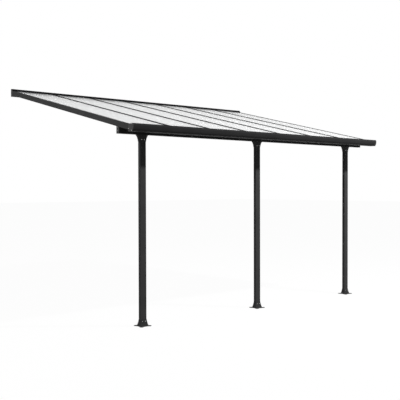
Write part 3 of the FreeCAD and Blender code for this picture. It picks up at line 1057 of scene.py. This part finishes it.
class PERGOLA_OT_stage(bpy.types.Operator):
    """Set up the floor, the light and the camera"""
    bl_idname = "pergola.stage"
    bl_label = "Stage"

    FLOOR_GAP = 0.0005    # from the feet down to the floor
    FLOOR_SEEN = (0.95, 0.95, 0.95, 1.0)
    SENSOR_WIDTH = 36.0
    SHIFT = (-0.001, 0.0006)
    FURTHEST = 300.0

    def execute(self, context):
        stage = context.scene.pergola_stage
        self.floor(stage)
        self.world(context.scene, stage)
        self.lamp("key_light", stage.key, stage.key_turn, stage.key_height, stage)
        self.lamp("side_light", stage.side, stage.side_turn, stage.side_height, stage)
        self.camera(context.scene, stage)
        context.scene.view_settings.view_transform = "Standard"
        return {"FINISHED"}

    def seen_plainly(self, tree):
        """One for camera, glossy and transmission rays, nought for the rest."""
        rays = add_node(tree, "ShaderNodeLightPath").outputs
        seen = reckon(tree, "MAXIMUM", rays["Is Camera Ray"], rays["Is Glossy Ray"])
        return reckon(tree, "MAXIMUM", seen, rays["Is Transmission Ray"])

    def floor(self, stage):
        """Pale floor that keeps a faint shadow."""
        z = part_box("post_foot_left")[0].z - self.FLOOR_GAP
        half = stage.floor_size
        corners = [(-half, -half, z), (half, -half, z), (half, half, z), (-half, half, z)]
        mesh = mesh_from("floor", corners, [(0, 1, 2, 3)])
        surface = bpy.data.materials.new("pale_floor")
        surface.use_nodes = True
        tree = surface.node_tree
        tree.nodes.clear()
        matt = add_node(tree, "ShaderNodeBsdfDiffuse", Color=(*stage.floor, 1.0))
        seen = add_node(tree, "ShaderNodeBsdfDiffuse", Color=self.FLOOR_SEEN)
        white = add_node(tree, "ShaderNodeEmission", Color=WHITE)
        clear = mix_shaders(tree, stage.floor_clear, seen, white)
        both = mix_shaders(tree, self.seen_plainly(tree), matt, clear)
        add_node(tree, "ShaderNodeOutputMaterial", Surface=both)
        mesh.materials.append(surface)
        add_object("floor", mesh)

    def world(self, scene, stage):
        """Soft light from all round, white to the camera and in reflections."""
        world = bpy.data.worlds.new("studio")
        world.use_nodes = True
        tree = world.node_tree
        tree.nodes.clear()
        soft = add_node(tree, "ShaderNodeBackground", Color=WHITE, Strength=stage.ambient)
        white = add_node(tree, "ShaderNodeBackground", Color=WHITE)
        both = mix_shaders(tree, self.seen_plainly(tree), soft, white)
        add_node(tree, "ShaderNodeOutputWorld", Surface=both)
        scene.world = world

    def lamp(self, name, light, turn, height, stage):
        """Soft round lamp that shines on the cover and shows in nothing."""
        lamp = bpy.data.lights.new(name, "AREA")
        lamp.shape = "DISK"
        lamp.energy = light * math.pi * stage.key_distance ** 2
        lamp.size = stage.key_distance * stage.key_size
        flat = math.cos(height)
        towards = Vector((flat * math.sin(turn), -flat * math.cos(turn), math.sin(height)))
        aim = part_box("header_beam")[0]
        holder = add_object(name, lamp)
        holder.visible_camera = False
        holder.visible_glossy = False
        holder.visible_transmission = False
        holder.rotation_euler = towards.to_track_quat("Z", "Y").to_euler()
        holder.location = Vector((0.0, aim.y, aim.z)) + towards * stage.key_distance

    def camera(self, scene, stage):
        """Camera at the photograph's place."""
        data = bpy.data.cameras.new("camera")
        data.sensor_fit = "HORIZONTAL"
        data.sensor_width = self.SENSOR_WIDTH
        data.lens = stage.lens
        data.shift_x, data.shift_y = self.SHIFT
        data.clip_end = self.FURTHEST
        level = math.cos(stage.tilt)
        forward = Vector((math.sin(stage.heading) * level, math.cos(stage.heading) * level,
                          math.sin(stage.tilt)))
        right = Vector((math.cos(stage.heading), -math.sin(stage.heading), 0.0))
        up = right.cross(forward)
        right, up = (right * math.cos(stage.roll) + up * math.sin(stage.roll),
                     up * math.cos(stage.roll) - right * math.sin(stage.roll))
        camera = add_object("camera", data)
        camera.matrix_world = (Matrix.Translation(stage.eye)
                               @ Matrix((right, up, -forward)).transposed().to_4x4())
        scene.camera = camera


STEPS = (PERGOLA_OT_stage, PERGOLA_OT_finishes, PERGOLA_OT_roof_sheets, PERGOLA_OT_gutter,
         PERGOLA_OT_connectors, PERGOLA_OT_seals, PERGOLA_OT_screws)


class PERGOLA_PT_panel(bpy.types.Panel):
    """Steps and settings of the pergola"""
    bl_idname = "PERGOLA_PT_panel"
    bl_label = "Pergola"
    bl_space_type = "VIEW_3D"
    bl_region_type = "UI"
    bl_category = "Pergola"

    def draw(self, context):
        for step in STEPS:
            self.layout.operator(step.bl_idname)
        for name, group in SETTINGS.items():
            box = self.layout.box()
            box.label(text=group.__doc__)
            for key in group.__annotations__:
                box.prop(getattr(context.scene, name), key)


CLASSES = (*SETTINGS.values(), *STEPS, PERGOLA_PT_panel)


def register():
    for kind in CLASSES:
        bpy.utils.register_class(kind)
    for name, group in SETTINGS.items():
        setattr(bpy.types.Scene, name, PointerProperty(type=group))


def unregister():
    for name in SETTINGS:
        delattr(bpy.types.Scene, name)
    for kind in reversed(CLASSES):
        bpy.utils.unregister_class(kind)


def main():
    register()
    bpy.ops.pergola.stage()
    bpy.ops.pergola.finishes()
    bpy.ops.pergola.roof_sheets()
    bpy.ops.pergola.gutter()
    bpy.ops.pergola.connectors()
    bpy.ops.pergola.seals()
    bpy.ops.pergola.screws()


if __name__ == "__main__":
    main()
